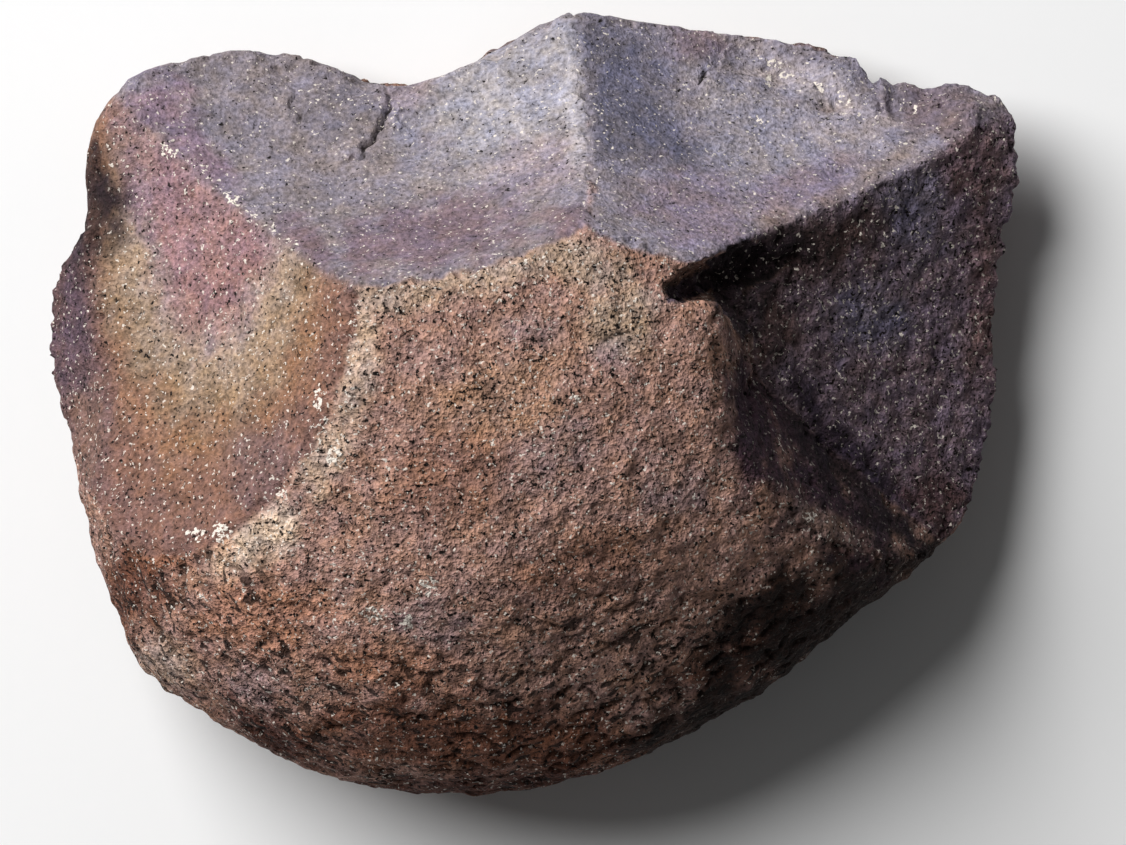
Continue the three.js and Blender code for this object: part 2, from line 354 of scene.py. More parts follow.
def linear(hex_colour):
    """An sRGB hex colour as linear red, green and blue."""
    channels = [int(hex_colour[i:i + 2], 16) / 255 for i in (1, 3, 5)]
    return [c / 12.92 if c <= 0.04045 else ((c + 0.055) / 1.055) ** 2.4 for c in channels]


def colour_property(name, description, hex_colour):
    return bpy.props.FloatVectorProperty(
        name=name, description=description, subtype="COLOR", size=3, min=0, max=1, default=linear(hex_colour)
    )


def length_property(name, description, mm):
    return bpy.props.FloatProperty(
        name=name, description=description, default=mm * MM, min=0, unit="LENGTH", precision=5
    )


class PebbleSizes(bpy.types.PropertyGroup):
    voxel: length_property("Mesh spacing", "Distance between the points of the stone's mesh", 0.46)
    ridge_width: length_property("Ridge width", "How near a ridge the surface keeps its sharp form", 0.9)
    swell: length_property("Crust swell", "Height of the broad swells of the natural crust", 0.24)
    knobble: length_property("Crust knobbles", "Height of the small knobbles of the crust", 0.11)
    pit_depth: length_property("Pit depth", "Depth of the larger pits in the crust", 0.38)
    row_depth: length_property("Layer rows", "Depth of the grooves between the layers of the butt", 0.5)
    ripple: length_property("Scar ripple", "Height of the soft undulation of the struck faces", 0.07)
    crush: length_property("Crushed edge", "How far ridges and the working edge are crumbled", 0.4)
    grain: length_property("Grain", "Size of the quartz grains", 0.52)


class PebbleColours(bpy.types.PropertyGroup):
    # The colour of the dark pits, also used as painted shade in the butt's grooves and along the steps
    dirt_and_shade: colour_property("Dirt", "Dark dirt in the pits", "#120A08")
    # The colour of clean quartz, also given to the painted glints on the grains
    quartz: colour_property("Quartz", "Clean quartz grains", "#DDD3C8")
    floor: colour_property("Floor", "The plain floor", "#F2F2F2")


def deselect_all():
    if bpy.context.object and bpy.context.object.mode != "OBJECT":
        bpy.ops.object.mode_set(mode="OBJECT")
    bpy.ops.object.select_all(action="DESELECT")


def make_active(piece):
    deselect_all()
    piece.select_set(True)
    bpy.context.view_layer.objects.active = piece


def apply_modifier(piece, kind, **settings):
    modifier = piece.modifiers.new(kind.title(), kind)
    for key, value in settings.items():
        setattr(modifier, key, value)
    make_active(piece)
    bpy.ops.object.modifier_apply(modifier=modifier.name)


def read_points(mesh):
    """The mesh's points and their normals, in mm."""
    count = len(mesh.vertices)
    points = np.empty(count * 3)
    normals = np.empty(count * 3)
    mesh.vertices.foreach_get("co", points)
    mesh.vertices.foreach_get("normal", normals)
    return points.reshape(-1, 3) / MM, normals.reshape(-1, 3)


def write_points(mesh, points):
    mesh.vertices.foreach_set("co", (points * MM).ravel())
    mesh.update()


def smoothstep(low, high, x):
    t = np.clip((x - low) / (high - low), 0, 1)
    return t * t * (3 - 2 * t)


def fractal(points, size, octaves=2, seed=0.0):
    """Soft noise with a spread of 1 and features of the given size in mm."""
    values = np.array([noise.fractal(Vector(p), 0.9, 2.0, octaves) for p in points / size + seed])
    return values / values.std()


def cells(points, size, seed=0.0):
    """Distance to the nearest cell centre in mm, and a random number of that cell from 0 to 1."""
    near = np.empty(len(points))
    lot = np.empty(len(points))
    for i, p in enumerate(points / size + seed):
        distances, centres = noise.voronoi(Vector(p))
        near[i] = distances[0]
        lot[i] = 0.5 + 0.5 * noise.cell(centres[0] * 7.31)
    return near * size, lot


def bed_axes(faces, slope):
    """The way straight out of a bed, down it and across it."""
    turn, tilt = math.radians(faces), math.radians(slope)
    out = np.array([math.cos(turn) * math.sin(tilt), math.sin(turn) * math.sin(tilt), math.cos(tilt)])
    down = np.array([math.cos(turn) * math.cos(tilt), math.sin(turn) * math.cos(tilt), -math.sin(tilt)])
    return out, down, np.cross(out, down)


def beyond_bed(points, bed):
    """How far each point lies outside the hollow that one flake left, in mm: 0 on the scar itself."""
    place, faces, slope, along, across = bed
    out, down, side = bed_axes(faces, slope)
    centre = np.array(place) + np.array(SOLID_SHIFT) + FLAKE_DEPTH * out
    half = np.array([math.sqrt(along * FLAKE_DEPTH), math.sqrt(across * FLAKE_DEPTH), FLAKE_DEPTH])
    local = (points - centre) @ np.stack([down, side, out], axis=1)
    level = np.linalg.norm(local / half, axis=1)
    steepness = np.linalg.norm(local / half ** 2, axis=1) / np.maximum(level, 1e-6)
    return (level - 1) / np.maximum(steepness, 1e-6)


def scar_distances(points):
    """For each scar, how far each point lies behind it, in mm. The right scar's wall is worn like crust."""
    depth = {name: beyond_bed(points, bed) for name, bed in BEDS.items()}
    bed, high, low = (depth.pop(n) for n in ("right_bed", "right_wall_high", "right_wall_low"))
    wall = np.maximum(high, low)
    depth["right"] = np.maximum(bed, wall) + 2 * smoothstep(-0.4, 0.6, wall - bed)
    return depth


def line_distance(points, line):
    """Distance in mm to a line seen from above, the side (+ is left of its way), and the share along it."""
    best = np.full(len(points), 1e9)
    side = np.zeros(len(points))
    along = np.zeros(len(points))
    line = np.array(line, float)
    lengths = np.linalg.norm(np.diff(line, axis=0), axis=1)
    start = 0.0
    for a, b, length in zip(line[:-1], line[1:], lengths):
        way = (b - a) / length
        to_point = points[:, :2] - a
        t = np.clip(to_point @ way, 0, length)
        gap = to_point - t[:, None] * way
        distance = np.linalg.norm(gap, axis=1)
        nearer = distance < best
        best[nearer] = distance[nearer]
        side[nearer] = np.sign(way[0] * gap[nearer, 1] - way[1] * gap[nearer, 0])
        along[nearer] = (start + t[nearer]) / lengths.sum()
        start += length
    return best, side, along


def patch_mask(points, patches, wobble=0.0):
    """How far each point is inside any of the patches: 1 in the middle, 0 outside."""
    mask = np.zeros(len(points))
    for x, y, wide, high, turn in patches:
        c, s = math.cos(math.radians(turn)), math.sin(math.radians(turn))
        dx, dy = points[:, 0] - x, points[:, 1] - y
        reach = np.hypot((dx * c + dy * s) / wide, (dy * c - dx * s) / high) + PATCH_WOBBLE * wobble
        mask = np.maximum(mask, 1 - smoothstep(PATCH_CORE, PATCH_EDGE, reach))
    return mask


def ridge_distances(solid_mesh, points, bluntest=15.0, spacing=0.4, reach=8.0):
    """How far each point is from the nearest ridge or crease of the solid, in mm. An edge counts when its
    faces turn by more than the bluntest angle, in degrees."""
    shape = bmesh.new()
    shape.from_mesh(solid_mesh)
    bmesh.ops.remove_doubles(shape, verts=shape.verts, dist=MERGE_DISTANCE)
    samples = []
    for edge in shape.edges:
        if len(edge.link_faces) == 2 and edge.calc_face_angle(0) > math.radians(bluntest):
            a, b = (v.co / MM for v in edge.verts)
            count = max(2, math.ceil((b - a).length / spacing))
            samples += [a.lerp(b, i / count) for i in range(count + 1)]
    shape.free()
    tree = kdtree.KDTree(len(samples))
    for i, place in enumerate(samples):
        tree.insert(place, i)
    tree.balance()
    return np.array([min(tree.find(Vector(p))[2], reach) for p in points])


def name_zones(points, wobble):
    """How much each point belongs to the crust and to each struck face, from 0 to 1."""
    depth = scar_distances(points)
    stack = np.stack([depth[n] for n in SCARS])
    edge_chips = smoothstep(*EDGE_CHIPS_Y, points[:, 1]) * smoothstep(*EDGE_CHIPS_Z, points[:, 2])
    right_chips = smoothstep(*RIGHT_CHIPS_X, points[:, 0]) * smoothstep(*RIGHT_CHIPS_Y, points[:, 1])
    rim_chips = smoothstep(*RIM_CHIPS_X, points[:, 0]) * smoothstep(*RIM_CHIPS_Y, points[:, 1])
    chips = np.maximum.reduce([edge_chips, right_chips, rim_chips]) * (points[:, 2] > CHIPS_ABOVE)
    in_cleft = np.zeros(len(points), bool)
    for (x, y, _), (length, width, _), heading, _ in CLEFT:
        c, s = math.cos(math.radians(heading)), math.sin(math.radians(heading))
        dx, dy = points[:, 0] - x, points[:, 1] - y
        in_cleft |= np.hypot((dx * c + dy * s) / length, (dy * c - dx * s) / width) + 0.1 * wobble < 1
    in_cleft &= stack.min(axis=0) > 0.4
    behind = stack.min(axis=0) + ZONE_WOBBLE * wobble
    struck = np.maximum.reduce([1 - smoothstep(*ZONE_EDGE, behind), chips, in_cleft])
    share = np.exp((stack.min(axis=0) - stack) / ZONE_BLEND)
    share[:, in_cleft] = 0
    share[SCARS.index("right"), in_cleft] = 1
    zones = dict(zip(SCARS, struck * share / share.sum(axis=0)))
    zones["crust"] = 1 - struck
    return zones


def layered_butt(points, normals):
    """Where the crust is worn in layers, from 0 to 1: the steep sides of the butt."""
    steep = smoothstep(*BUTT_STEEPNESS, normals[:, 2])
    return steep * smoothstep(*BUTT_Y, points[:, 1] + BUTT_SLANT * points[:, 0])


def butt_rows(points, butt):
    """The dark grooves between the worn layers along the butt: short rows that run round it, from 0 to 1."""
    level = points[:, 2] + ROW_SLANT * points[:, 0] + ROW_WOBBLE * fractal(points, 6.0, seed=21.0)
    layered = np.stack([points[:, 0] / ROW_LENGTH, points[:, 1] / ROW_LENGTH, level / ROW_HEIGHT], axis=1)
    grooves = np.exp(-(fractal(layered, 1.0, seed=2.2) / GROOVE_WIDTH) ** 2)
    return butt * grooves * smoothstep(-0.4, 0.5, fractal(layered, 0.8, seed=27.0))


def crust_relief(points, butt, sizes):
    """The height of the worn crust in mm, and how deep in a pit or groove each point is, from 0 to 1."""
    near, lot = cells(points, PIT_SPACING, seed=5.3)
    pit = smoothstep(0, 1, 1.1 - near / (PIT_RADIUS + PIT_GROWTH * lot)) * (lot > PITLESS_SHARE)
    rows = butt_rows(points, butt)
    height = sizes.swell / MM * SWELL_SHARE * fractal(points, SWELL_SIZES[0], seed=3.1)
    height += sizes.swell / MM * SWELL_SHARE * fractal(points, SWELL_SIZES[1], 1, seed=8.8)
    height += sizes.knobble / MM * fractal(points, KNOBBLE_SIZE, seed=11.7)
    height -= sizes.pit_depth / MM * pit + sizes.row_depth / MM * rows
    return height, np.maximum(0.4 * pit, 0.6 * rows)


def ragged(points, size=1.9):
    """The points moved sideways a little, so that a line beside them runs raggedly."""
    shift_x = fractal(points, size, seed=41.0)
    shift_y = fractal(points, size, seed=43.0)
    return points + LINE_WOBBLE * np.stack([shift_x, shift_y, np.zeros(len(points))], axis=1)


def scar_relief(points, zones, sizes):
    """The height in mm of the struck faces: ripples, coarser on the right, and the steps on them."""
    coarse = FINEST_RIPPLE
    for zone, more in RIPPLE_COARSENESS.items():
        coarse = coarse + more * zones[zone]
    height = sizes.ripple / MM * fractal(points, RIPPLE_SIZES[0], seed=7.7)
    height += sizes.ripple / MM * coarse * fractal(points, RIPPLE_SIZES[1], seed=13.9)
    moved = ragged(points)
    for line, step, fade in STEPS:
        distance, side, along = line_distance(moved, line)
        ends = smoothstep(0, 0.25, along) * smoothstep(1, 0.7, along)
        height += step * ends * (side > 0) * np.exp(-distance / fade)
    return height


def crumble(points, ridge, sizes):
    """How far each point of a ridge or of the outline is broken back, in mm."""
    small = np.maximum(0, fractal(points, 1.5, 3, seed=17.0))
    large = np.maximum(0, fractal(points, 4.5, 3, seed=19.0) - 0.3)
    outline = smoothstep(*EDGE_CRUMBLE_Z, points[:, 2])
    at_ridges = small * np.exp(-(ridge / RIDGE_CRUMBLE_REACH) ** 2)
    at_outline = EDGE_CRUMBLE * outline * large * np.exp(-(ridge / EDGE_CRUMBLE_REACH) ** 2)
    return np.minimum(sizes.crush / MM * (at_ridges + at_outline), DEEPEST_CRUMBLE)


def cracks(points):
    """The depth of the cracks at each point in mm."""
    deep = np.zeros(len(points))
    moved = ragged(points)
    for line, depth, width in CRACKS:
        distance, _, along = line_distance(moved, line)
        ends = smoothstep(0, 0.3, along) * smoothstep(1, 0.7, along)
        deep = np.maximum(deep, depth * (0.3 + 0.7 * ends) * np.exp(-(distance / width) ** 2))
    return deep


def stone_colours(points, zones, wobble):
    """The colour of each point (linear): its zone's, with the rings on the left scar and the stains, among
    them painted shade and highlights, and a band of painted shade just above the foot.
    """
    colours = np.zeros((len(points), 3))
    for zone, hex_colour in ZONE_COLOURS.items():
        colours += zones[zone][:, None] * np.array(linear(hex_colour))
    from_middle = (points[:, :2] - RING_MIDDLE) / RING_HALF
    reach = np.hypot(from_middle[:, 0], from_middle[:, 1]) + RING_WOBBLE * wobble
    stops = [stop for stop, _ in RING_COLOURS]
    ring = np.array([linear(colour) for _, colour in RING_COLOURS])
    rings = np.stack([np.interp(reach, stops, ring[:, channel]) for channel in range(3)], axis=1)
    colours += zones["left"][:, None] * (rings - linear(ZONE_COLOURS["left"]))
    for zone, hex_colour, strength, patches in STAINS_AND_PAINTED_LIGHT:
        cover = (strength * zones[zone] * patch_mask(points, patches, wobble))[:, None]
        colours += cover * (np.array(linear(hex_colour)) - colours)
    # Painted shade: a band darkening the crust's lower sides just above the foot
    level = points[:, 2] + FOOT_SHADE_WOBBLE * wobble
    band = smoothstep(*FOOT_SHADE_TOP, level) * smoothstep(*FOOT_SHADE_BOTTOM, level)
    dirt_and_shade = FOOT_SHADE * zones["crust"] * band
    return colours * (1 - dirt_and_shade)[:, None]


def add_attribute(mesh, name, values):
    attribute = mesh.attributes.new(name, "FLOAT", "POINT")
    attribute.data.foreach_set("value", np.asarray(values, np.float32))


def soften(stone, name, weights, iterations):
    """Smooths the stone by a weight for each point."""
    group = stone.vertex_groups.new(name=name)
    for i, weight in enumerate(weights):
        group.add([i], float(weight), "REPLACE")
    apply_modifier(stone, "SMOOTH", factor=0.5, iterations=iterations, vertex_group=name)


def cut_ball(stone, centre, half, axes):
    """Cuts a ball with the given half sizes along the given axes out of the stone. All lengths in mm."""
    deselect_all()
    bpy.ops.mesh.primitive_ico_sphere_add(subdivisions=5, radius=1)
    cutter = bpy.context.object
    points, _ = read_points(cutter.data)
    points = (points * MM) * np.array(half)
    write_points(cutter.data, points @ np.stack(axes) + np.array(centre))
    if np.linalg.det(np.stack(axes)) < 0:
        cutter.data.flip_normals()
    apply_modifier(stone, "BOOLEAN", operation="DIFFERENCE", solver="EXACT", object=cutter)
    bpy.data.objects.remove(cutter, do_unlink=True)


def cut_small_hollows(stone):
    for place, faces, slope, along, across, depth in SMALL_CUTS:
        out, down, side = bed_axes(faces, slope)
        half = (math.sqrt(along * depth), math.sqrt(across * depth), depth)
        cut_ball(stone, np.array(place) + depth * out, half, (down, side, out))
    for place, half, heading, dip in CLEFT:
        turn, tilt = math.radians(heading), math.radians(dip)
        ahead = np.array([math.cos(turn) * math.cos(tilt), math.sin(turn) * math.cos(tilt), -math.sin(tilt)])
        left = np.array([-math.sin(turn), math.cos(turn), 0])
        cut_ball(stone, place, half, (ahead, left, np.cross(ahead, left)))


def refine_near_lines(stone):
    """Splits the faces near steps and cracks, so that they come out crisp."""
    points, normals = read_points(stone.data)
    lines = [line for line, *_ in STEPS + CRACKS]
    near = np.min([line_distance(points, line)[0] for line in lines], axis=0) < REFINE_REACH
    near &= normals[:, 2] > 0
    make_active(stone)
    bpy.ops.object.mode_set(mode="EDIT")
    bpy.ops.mesh.select_all(action="DESELECT")
    bpy.ops.mesh.select_mode(type="VERT")
    bpy.ops.object.mode_set(mode="OBJECT")
    stone.data.vertices.foreach_set("select", near)
    bpy.ops.object.mode_set(mode="EDIT")
    bpy.ops.mesh.select_mode(type="FACE")
    bpy.ops.mesh.subdivide(number_cuts=1)
    bpy.ops.mesh.select_all(action="SELECT")
    bpy.ops.mesh.quads_convert_to_tris()
    bpy.ops.object.mode_set(mode="OBJECT")


def remeshed_copy(context, sizes):
    """A copy of the solid with its small hollows, as one even mesh that is coarser on the underside."""
    stone = bpy.data.objects.new("worked_stone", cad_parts[NODE].data.copy())
    context.scene.collection.objects.link(stone)
    make_active(stone)
    bpy.ops.object.mode_set(mode="EDIT")
    bpy.ops.mesh.select_all(action="SELECT")
    bpy.ops.mesh.remove_doubles(threshold=MERGE_DISTANCE)
    bpy.ops.object.mode_set(mode="OBJECT")
    cut_small_hollows(stone)
    apply_modifier(stone, "REMESH", mode="VOXEL", voxel_size=sizes.voxel, use_smooth_shade=True)
    points, normals = read_points(stone.data)
    below = stone.vertex_groups.new(name="underside")
    hidden = np.flatnonzero((normals[:, 2] < UNDERSIDE_NORMAL) & (points[:, 2] < UNDERSIDE_TOP))
    below.add(hidden.tolist(), 1.0, "REPLACE")
    keep = 1 - UNDERSIDE_THINNING * len(hidden) / len(points)
    apply_modifier(stone, "DECIMATE", ratio=keep, vertex_group="underside", use_collapse_triangulate=True)
    refine_near_lines(stone)
    return stone


def soften_stone(stone, points, ridge, sizes):
    """Smooths the faces but hardly the ridges, and then wears some of the ridges round."""
    above_foot = smoothstep(0.05, 0.6, points[:, 2])
    width = sizes.ridge_width / MM
    off_ridge = smoothstep(0.3 * width, 2 * width, ridge)
    soften(stone, "faces", (RIDGE_SOFTENING + (1 - RIDGE_SOFTENING) * off_ridge) * above_foot, FACE_PASSES)
    worn = patch_mask(points, WORN_RIDGES) * smoothstep(*WORN_ABOVE, points[:, 2])
    soften(stone, "worn", worn, WORN_PASSES)


def push_bulges_out(moved, points, foot):
    """Moves the points outwards where the outline stands out further than the solid's."""
    for patch, way, push in BULGES:
        turn = math.radians(way)
        share = push * foot * patch_mask(points, [patch])
        moved += share[:, None] * np.array([math.cos(turn), math.sin(turn), 0])


class PEBBLE_OT_stone(bpy.types.Operator):
    """Build the stone: the solid's form, with the crust, the struck faces and the crumbled edges on it"""

    bl_idname = "pebble.stone"
    bl_label = "Stone"

    def execute(self, context):
        sizes = context.scene.pebble_sizes
        stone = remeshed_copy(context, sizes)
        points, _ = read_points(stone.data)
        ridge = ridge_distances(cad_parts[NODE].data, points)
        soften_stone(stone, points, ridge, sizes)

        points, normals = read_points(stone.data)
        wobble = fractal(points, 3.5, 3, seed=31.0)
        zones = name_zones(points, wobble)
        butt = layered_butt(points, normals)
        crust_height, hollow = crust_relief(points, butt, sizes)
        height = zones["crust"] * crust_height + (1 - zones["crust"]) * scar_relief(points, zones, sizes)
        split = cracks(points)
        height -= crumble(points, ridge, sizes) + split
        foot = smoothstep(0.2, 2.0, points[:, 2])
        colours = stone_colours(points, zones, wobble)
        moved = points + normals * (height * foot)[:, None]
        push_bulges_out(moved, points, foot)
        moved[:, 2] = np.maximum(moved[:, 2], 0)
        write_points(stone.data, moved)

        mesh = stone.data
        stain = mesh.attributes.new("stain", "FLOAT_COLOR", "POINT")
        rgba = np.column_stack([colours, np.ones(len(points))])
        stain.data.foreach_set("color", rgba.ravel().astype(np.float32))
        add_attribute(mesh, "coarse", sum(c * zones[zone] for zone, c in GRAIN_COARSENESS.items()))
        # Darker colour in the mesh's pits and cracks, and painted shade in its grooves and along the steps
        add_attribute(mesh, "hollow", np.maximum(zones["crust"] * hollow, smoothstep(0.1, 0.4, split)))
        # White quartz, crumbs and flecks, with the painted highlights among them, make the quartz attribute
        crumbs_and_highlights = CRUMB_COVER * patch_mask(points, CRUMBS_AND_HIGHLIGHTS, wobble)
        pale = np.maximum(patch_mask(points, QUARTZ_AND_HIGHLIGHTS, wobble), crumbs_and_highlights)
        flecks = FLECK_COVER * zones["right"] * patch_mask(points, FLECKS, wobble)
        add_attribute(mesh, "quartz", np.maximum(pale, flecks))
        add_attribute(mesh, "rows", butt * zones["crust"])
        for group in list(stone.vertex_groups):
            stone.vertex_groups.remove(group)
        mesh.shade_smooth()

        mesh.materials.clear()
        mesh.materials.append(quartzite(context.scene.pebble_colours, sizes))
        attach(stone, "root")
        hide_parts(NODE)
        print("stone has", len(mesh.vertices), "points and", len(mesh.polygons), "faces")
        return {"FINISHED"}


def node(tree, kind, links=(), **settings):
    """Adds a node with its settings and gives its outputs. Each input gets another node's output, or a plain
    value."""
    made = tree.nodes.new(kind)
    for key, value in settings.items():
        setattr(made, key, value)
    for socket, source in dict(links).items():
        if isinstance(source, bpy.types.NodeSocket):
            tree.links.new(source, made.inputs[socket])
        else:
            made.inputs[socket].default_value = source
    return made.outputs


MATH = "ShaderNodeMath"
MIX = "ShaderNodeMix"
NOISE = "ShaderNodeTexNoise"
RANGE = "ShaderNodeMapRange"

# The patterns of the quartzite and the board. Sizes are in mm, and tints and shades are factors on the colour
MOTTLE_SIZE = 3.2
WARM_TINT = (1.06, 1.0, 0.9, 1.0)
COOL_TINT = (0.95, 0.98, 1.1, 1.0)
DARK_MOTTLE = 0.78
LIGHT_MOTTLE = 1.26
MEAN_SHADE = 1.09
GRAIN_CONTRAST = 2.0
PIT_LEVEL = 0.365  # the level of the grains' noise below which a pit shows
DASH_SIZE = 0.7
DASH_STRETCH = (0.3, 0.3, 1.0)  # a dash is longer along the butt than it is high
# How dark the dashes are: painted shade in the butt's grooves
DASH_SHADE = 0.85
SHINE_LEVEL = 0.67  # the level of the grains' noise above which a grain gets a painted glint
GRAIN_SHINE = 0.85  # how strong that painted glint is on light stone
BOARD_TOOTH = 2.0  # coarser than real board's, which is too fine to show


def quartzite(colours, sizes):
    """Quartzite: fused quartz grains, dull and pitted where water wore it, finer where it was struck."""
    material = bpy.data.materials.new("quartzite_cobble")
    material.use_nodes = True
    tree = material.node_tree
    tree.nodes.clear()
    place = node(tree, "ShaderNodeTexCoord")["Object"]
    stain = node(tree, "ShaderNodeAttribute", attribute_name="stain")["Color"]
    coarse = node(tree, "ShaderNodeAttribute", attribute_name="coarse")["Fac"]
    hollow = node(tree, "ShaderNodeAttribute", attribute_name="hollow")["Fac"]
    quartz = node(tree, "ShaderNodeAttribute", attribute_name="quartz")["Fac"]
    rows = node(tree, "ShaderNodeAttribute", attribute_name="rows")["Fac"]

    # Soft patches that are warmer or cooler, and lighter or darker, than the stone round them
    links = {"Vector": place, "Scale": 1 / (MOTTLE_SIZE * MM), "Detail": 3.0, "Roughness": 0.7}
    mottle = node(tree, NOISE, links)
    hue = node(tree, "ShaderNodeSeparateColor", {0: mottle["Color"]})[2]
    hue = node(tree, RANGE, {0: hue, 1: 0.35, 2: 0.65})[0]
    tint = node(tree, MIX, {0: hue, 6: WARM_TINT, 7: COOL_TINT}, data_type="RGBA")[2]
    shade = node(tree, RANGE, {0: mottle["Fac"], 1: 0.3, 2: 0.7, 3: DARK_MOTTLE, 4: LIGHT_MOTTLE})[0]

    # Grains, each with its own lightness, and with more contrast in coarse stone
    links = {"Vector": place, "Scale": 1 / sizes.grain, "Detail": 2.0, "Roughness": 0.6}
    fine = node(tree, NOISE, links)["Color"]
    pitting, shine, grain = node(tree, "ShaderNodeSeparateColor", {0: fine})
    contrast = node(tree, MATH, {0: coarse, 1: 0.8, 2: GRAIN_CONTRAST}, operation="MULTIPLY_ADD")[0]
    uneven = node(tree, MATH, {0: grain, 1: 0.5}, operation="SUBTRACT")[0]
    uneven = node(tree, MATH, {0: uneven, 1: contrast, 2: MEAN_SHADE}, operation="MULTIPLY_ADD")[0]
    shade = node(tree, MATH, {0: shade, 1: uneven}, operation="MULTIPLY")[0]
    tone = node(tree, "ShaderNodeCombineColor", {0: shade, 1: shade, 2: shade})[0]
    colour = node(tree, MIX, {0: 1.0, 6: stain, 7: tint}, data_type="RGBA", blend_type="MULTIPLY")[2]
    colour = node(tree, MIX, {0: 1.0, 6: colour, 7: tone}, data_type="RGBA", blend_type="MULTIPLY")[2]

    # Dark pits between the grains, more of them in coarse stone and in darker patches
    level = node(tree, MATH, {0: mottle["Fac"], 1: -0.15, 2: PIT_LEVEL}, operation="MULTIPLY_ADD")[0]
    level = node(tree, MATH, {0: coarse, 1: 0.1, 2: level}, operation="MULTIPLY_ADD")[0]
    below = node(tree, MATH, {0: level, 1: pitting}, operation="SUBTRACT")[0]
    pit = node(tree, RANGE, {0: below, 1: -0.02, 2: 0.045})[0]

    # Painted shade in dashes along the butt's worn layers, and darker colour in the hollows of the mesh:
    # in its pits and cracks, and as painted shade in its grooves and along the steps' cracks
    layered = node(tree, "ShaderNodeVectorMath", {0: place, 1: DASH_STRETCH}, operation="MULTIPLY")[0]
    links = {"Vector": layered, "Scale": 1 / (DASH_SIZE * MM), "Detail": 1.0, "Roughness": 0.55}
    dash = node(tree, RANGE, {0: node(tree, NOISE, links)["Fac"], 1: 0.40, 2: 0.36})[0]
    dash = node(tree, MATH, {0: dash, 1: rows}, operation="MULTIPLY")[0]
    dash_shade = node(tree, MATH, {0: dash, 1: DASH_SHADE}, operation="MULTIPLY")[0]
    dark = node(tree, MATH, {0: pit, 1: dash_shade}, operation="MAXIMUM")[0]
    dark = node(tree, MATH, {0: dark, 1: hollow}, operation="MAXIMUM")[0]
    colour = node(tree, MIX, {0: dark, 6: colour, 7: (*colours.dirt_and_shade, 1.0)}, data_type="RGBA")[2]

    # Painted glints on grains, fainter on dark stains, and white quartz where its attribute lets it show
    level = node(tree, MATH, {0: coarse, 1: 0.032, 2: -SHINE_LEVEL}, operation="MULTIPLY_ADD")[0]
    painted_glint = node(tree, MATH, {0: shine, 1: level}, operation="ADD")[0]
    painted_glint = node(tree, RANGE, {0: painted_glint, 1: -0.01, 2: 0.03})[0]
    red = node(tree, "ShaderNodeSeparateColor", {0: stain})[0]
    glint_strength = node(tree, RANGE, {0: red, 1: 0.01, 2: 0.1, 3: 0.0, 4: GRAIN_SHINE})[0]
    painted_glint = node(tree, MATH, {0: painted_glint, 1: glint_strength}, operation="MULTIPLY")[0]
    vein = node(tree, MATH, {0: quartz, 1: 0.3, 2: shine}, operation="MULTIPLY_ADD")[0]
    vein = node(tree, RANGE, {0: vein, 1: 0.78, 2: 0.82})[0]
    pale = node(tree, MATH, {0: painted_glint, 1: vein}, operation="MAXIMUM")[0]
    colour = node(tree, MIX, {0: pale, 6: colour, 7: (*colours.quartz, 1.0)}, data_type="RGBA")[2]

    # Grains that stand out, most in coarse stone, and pits and dashes that lie low
    relief = node(tree, MATH, {0: coarse, 1: 0.6, 2: 0.12}, operation="MULTIPLY_ADD")[0]
    height = node(tree, MATH, {0: grain, 1: relief}, operation="MULTIPLY")[0]
    low = node(tree, MATH, {0: pit, 1: dash}, operation="MAXIMUM")[0]
    height = node(tree, MATH, {0: low, 1: -0.16, 2: height}, operation="MULTIPLY_ADD")[0]
    bump = node(tree, "ShaderNodeBump", {"Height": height, "Strength": 1.0, "Distance": MM})["Normal"]

    # Duller where it is coarse, with an IOR near quartz's and little shine
    dull = node(tree, RANGE, {0: coarse, 1: 0.0, 2: 1.0, 3: 0.66, 4: 0.88})[0]
    links = {"Base Color": colour, "Roughness": dull, "Normal": bump, "IOR": 1.5, "Specular IOR Level": 0.2}
    shader = node(tree, "ShaderNodeBsdfPrincipled", links)[0]
    node(tree, "ShaderNodeOutputMaterial", {"Surface": shader})
    return material


def matt_board(colour):
    """Matt painted board: even and dull, so that only the stone's shadow shows on it."""
    material = bpy.data.materials.new("matt_white_board")
    material.use_nodes = True
    tree = material.node_tree
    tree.nodes.clear()
    place = node(tree, "ShaderNodeTexCoord")["Object"]
    links = {"Vector": place, "Scale": 1 / (BOARD_TOOTH * MM), "Detail": 3.0, "Roughness": 0.55}
    tooth = node(tree, NOISE, links)["Fac"]
    darker = (*(0.99 * c for c in colour), 1.0)
    paper = node(tree, MIX, {0: tooth, 6: (*colour, 1.0), 7: darker}, data_type="RGBA")[2]
    links = {"Base Color": paper, "Roughness": 0.95, "IOR": 1.45, "Specular IOR Level": 0.1}
    shader = node(tree, "ShaderNodeBsdfPrincipled", links)[0]
    node(tree, "ShaderNodeOutputMaterial", {"Surface": shader})
    return material


# The key light: the way it comes from and its height in degrees, its distance and width in metres, watts
KEY_BEARING = 140
KEY_HEIGHT = 41
KEY_DISTANCE = 1.2
KEY_WIDTH = 1.1
KEY_POWER = 24.5
WORLD_LIGHT = 0.08
CAMERA_DISTANCE = 2.0
EDGE_LEVEL = 0.010  # height of the outline, where the photograph's scale holds
SENSOR_MM = 36.0


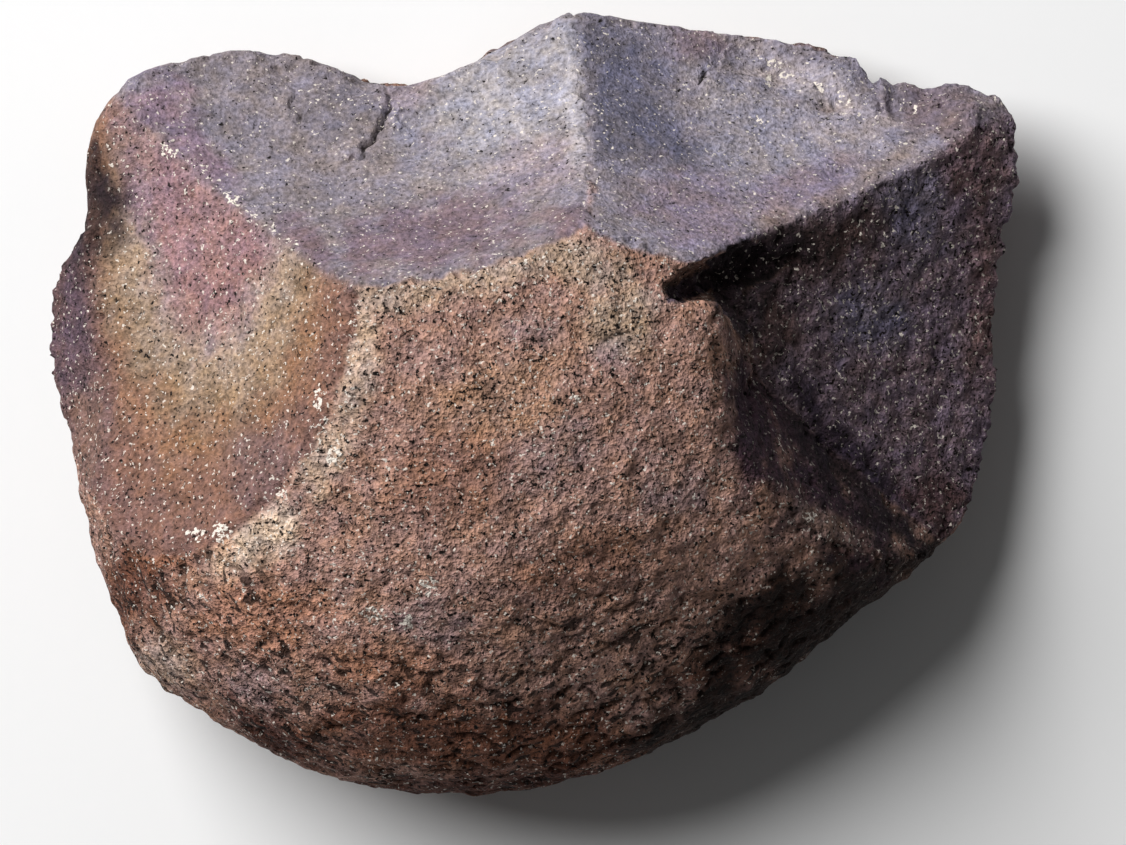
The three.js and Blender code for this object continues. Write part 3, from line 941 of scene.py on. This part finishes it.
class PEBBLE_OT_stage(bpy.types.Operator):
    """Set the stage: a plain pale floor, soft studio light and the camera straight over the stone"""

    bl_idname = "pebble.stage"
    bl_label = "Stage"

    def execute(self, context):
        scene = context.scene
        deselect_all()
        bpy.ops.mesh.primitive_plane_add(size=4.0, location=(0, 0, 0))
        floor = context.object
        floor.name = "floor"
        floor.data.materials.append(matt_board(scene.pebble_colours.floor))

        turn, rise = math.radians(KEY_BEARING), math.radians(KEY_HEIGHT)
        way = Vector((math.cos(turn) * math.cos(rise), math.sin(turn) * math.cos(rise), math.sin(rise)))
        bpy.ops.object.light_add(type="AREA", location=way * KEY_DISTANCE)
        key = context.object
        key.name = "key"
        key.rotation_euler = way.to_track_quat("Z", "Y").to_euler()
        key.data.shape = "DISK"
        key.data.size = KEY_WIDTH
        key.data.energy = KEY_POWER

        world = bpy.data.worlds.new("studio")
        scene.world = world
        world.use_nodes = True
        background = world.node_tree.nodes["Background"]
        background.inputs["Color"].default_value = (1, 1, 1, 1)
        background.inputs["Strength"].default_value = WORLD_LIGHT

        aim_x = (PHOTO_WIDTH_PX / 2 - ORIGIN_PX[0]) * MM_PER_PX * MM
        aim_y = (ORIGIN_PX[1] - PHOTO_HEIGHT_PX / 2) * MM_PER_PX * MM
        bpy.ops.object.camera_add(location=(aim_x, aim_y, EDGE_LEVEL + CAMERA_DISTANCE), rotation=(0, 0, 0))
        camera = context.object
        camera.name = "camera"
        camera.data.sensor_width = SENSOR_MM
        camera.data.lens = SENSOR_MM * CAMERA_DISTANCE / (PHOTO_WIDTH_PX * MM_PER_PX * MM)
        scene.camera = camera
        scene.view_settings.view_transform = "Standard"
        return {"FINISHED"}


class PEBBLE_PT_panel(bpy.types.Panel):
    """Lists the sizes, the colours and the operators of the stone and the stage"""

    bl_idname = "PEBBLE_PT_panel"
    bl_label = "Worked pebble tool"
    bl_space_type = "VIEW_3D"
    bl_region_type = "UI"
    bl_category = "Pebble"

    def draw(self, context):
        layout = self.layout
        for settings in (context.scene.pebble_sizes, context.scene.pebble_colours):
            box = layout.box()
            for key in settings.__annotations__:
                box.prop(settings, key)
        for operator in (PEBBLE_OT_stone, PEBBLE_OT_stage):
            layout.operator(operator.bl_idname)


CLASSES = (PebbleSizes, PebbleColours, PEBBLE_OT_stone, PEBBLE_OT_stage, PEBBLE_PT_panel)


def register():
    for cls in CLASSES:
        bpy.utils.register_class(cls)
    bpy.types.Scene.pebble_sizes = bpy.props.PointerProperty(type=PebbleSizes)
    bpy.types.Scene.pebble_colours = bpy.props.PointerProperty(type=PebbleColours)


def unregister():
    del bpy.types.Scene.pebble_sizes
    del bpy.types.Scene.pebble_colours
    for cls in reversed(CLASSES):
        bpy.utils.unregister_class(cls)


def main():
    register()
    bpy.ops.pebble.stone()
    bpy.ops.pebble.stage()


if __name__ == "__main__":
    main()
